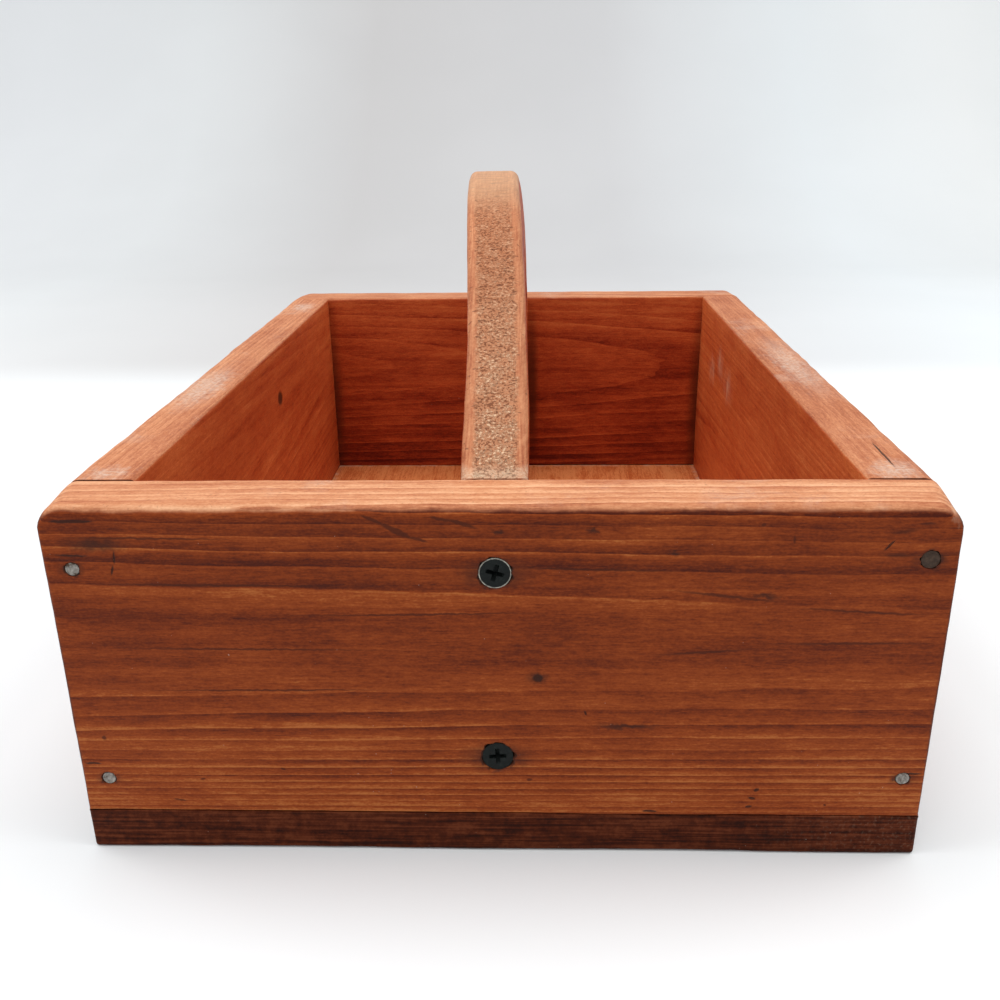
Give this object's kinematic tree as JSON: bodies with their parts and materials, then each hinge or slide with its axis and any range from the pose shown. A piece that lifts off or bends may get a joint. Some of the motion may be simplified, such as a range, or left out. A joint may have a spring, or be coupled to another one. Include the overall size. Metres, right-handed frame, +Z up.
{
  "type": "wooden tool tote",
  "caption": "Open wooden box with an arched carrying handle between its ends, for carrying hand tools.",
  "frame": {"origin": "centre of the underside of the base board", "axes": "+X right, +Y from the front end board to the back end board, +Z up"},
  "size_m": [0.2242, 0.308, 0.1689],
  "materials": {
    "stained_pine": "red-brown stained pine, satin",
    "dark_stained_wood": "dark brown stained board",
    "worn_handle_wood": "stained, sanded edges, dusty and rough below",
    "black_screw_steel": "black phosphate",
    "nail_steel": "dull steel, some rust"
  },
  "bodies": {
    "root": {"front_end_board": "stained_pine", "back_end_board": "stained_pine", "left_side_board": "stained_pine", "right_side_board": "stained_pine", "base_board": "dark_stained_wood", "arch_handle": "worn_handle_wood", "handle_screw_front_upper": "black_screw_steel", "handle_screw_front_lower": "black_screw_steel", "handle_screw_back_upper": "black_screw_steel", "handle_screw_back_lower": "black_screw_steel", "corner_nail_front_left_upper": "nail_steel", "corner_nail_front_left_lower": "nail_steel", "corner_nail_front_right_upper": "nail_steel", "corner_nail_front_right_lower": "nail_steel", "corner_nail_back_left_upper": "nail_steel", "corner_nail_back_left_lower": "nail_steel", "corner_nail_back_right_upper": "nail_steel", "corner_nail_back_right_lower": "nail_steel", "base_nail_left_1": "nail_steel", "base_nail_left_2": "nail_steel", "base_nail_left_3": "nail_steel", "base_nail_right_1": "nail_steel", "base_nail_right_2": "nail_steel", "base_nail_right_3": "nail_steel", "base_nail_front_1": "nail_steel", "base_nail_front_2": "nail_steel", "base_nail_back_1": "nail_steel", "base_nail_back_2": "nail_steel"}
  },
  "joints": []
}
